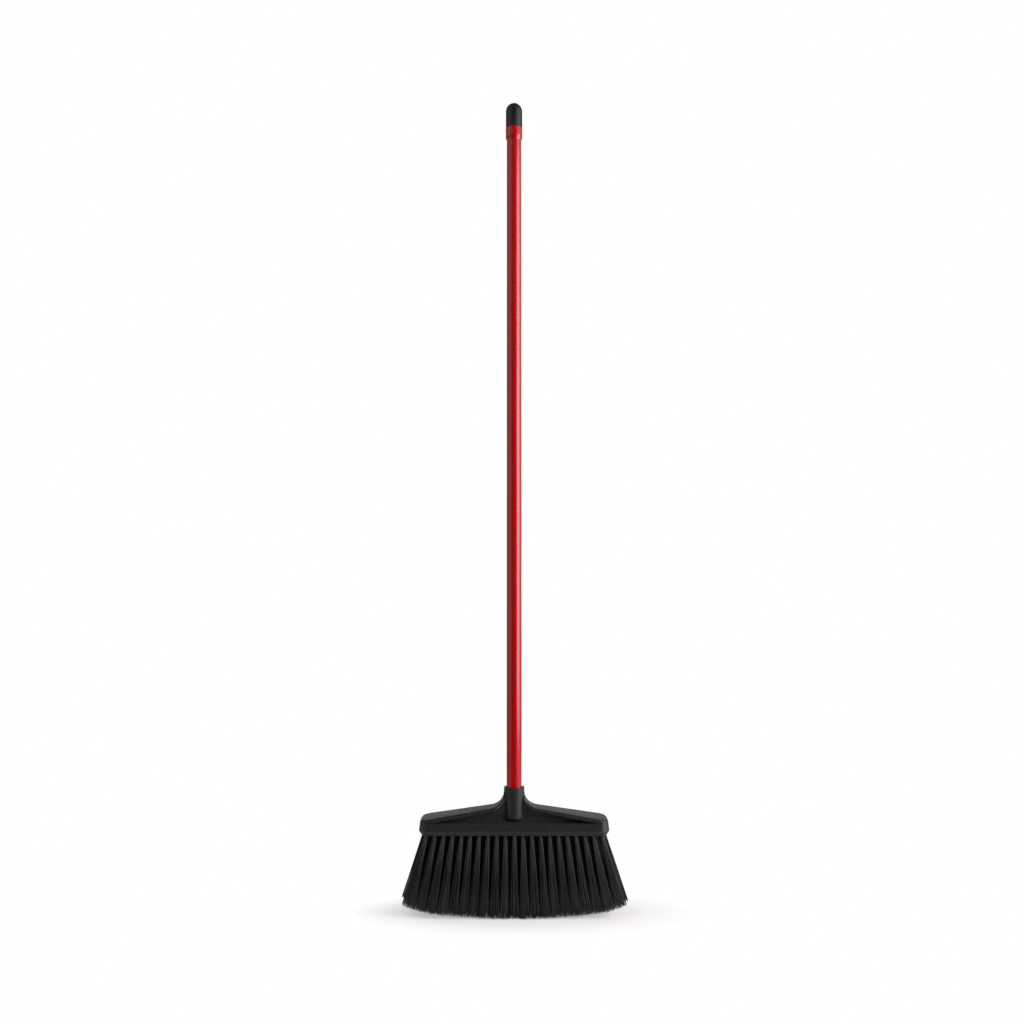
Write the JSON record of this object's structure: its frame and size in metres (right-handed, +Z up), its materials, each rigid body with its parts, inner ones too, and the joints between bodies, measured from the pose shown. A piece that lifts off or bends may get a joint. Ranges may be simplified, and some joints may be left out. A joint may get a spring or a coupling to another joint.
{
  "type": "broom",
  "caption": "Upright broom with a red film-coated tube handle that screws into a black moulded block with a swept flange and a socket boss, over flared black bristles.",
  "frame": {"origin": "on the floor under the handle's axis, at the middle of the bristle tips", "axes": "+Z up along the handle, +X along the block to the right as seen from the front, front faces -Y"},
  "size_m": [0.3702, 0.0682, 1.3786],
  "materials": {
    "block_plastic": "black moulded polypropylene, fine satin grain",
    "filament": "black drawn filament, semi-gloss along its length",
    "anchor_wire": "flat zinc-coated wire",
    "tube_steel": "thin welded steel tube, plain",
    "handle_film": "red shrunk plastic film, glossy",
    "cap_plastic": "black moulded plastic, satin",
    "tip_plastic": "black moulded nylon, plain"
  },
  "bodies": {
    "head": {"broom_block": "block_plastic", "tuft_anchors": "anchor_wire", "tuft_column_01": "filament", "tuft_column_02": "filament", "tuft_column_03": "filament", "tuft_column_04": "filament", "tuft_column_05": "filament", "tuft_column_06": "filament", "tuft_column_07": "filament", "tuft_column_08": "filament", "tuft_column_09": "filament", "tuft_column_10": "filament", "tuft_column_11": "filament", "tuft_column_12": "filament", "tuft_column_13": "filament", "tuft_column_14": "filament", "tuft_column_15": "filament", "tuft_column_16": "filament", "tuft_column_17": "filament", "tuft_column_18": "filament", "tuft_column_19": "filament", "tuft_column_20": "filament", "tuft_column_21": "filament"},
    "handle": {"handle_tube": "tube_steel", "handle_film": "handle_film", "end_cap": "cap_plastic", "threaded_tip": "tip_plastic"}
  },
  "joints": [
    {"name": "handle_unscrew", "type": "slide", "parent": "head", "child": "handle", "axis": [0, 0, 1], "range_m": [0, 0.045]}
  ]
}
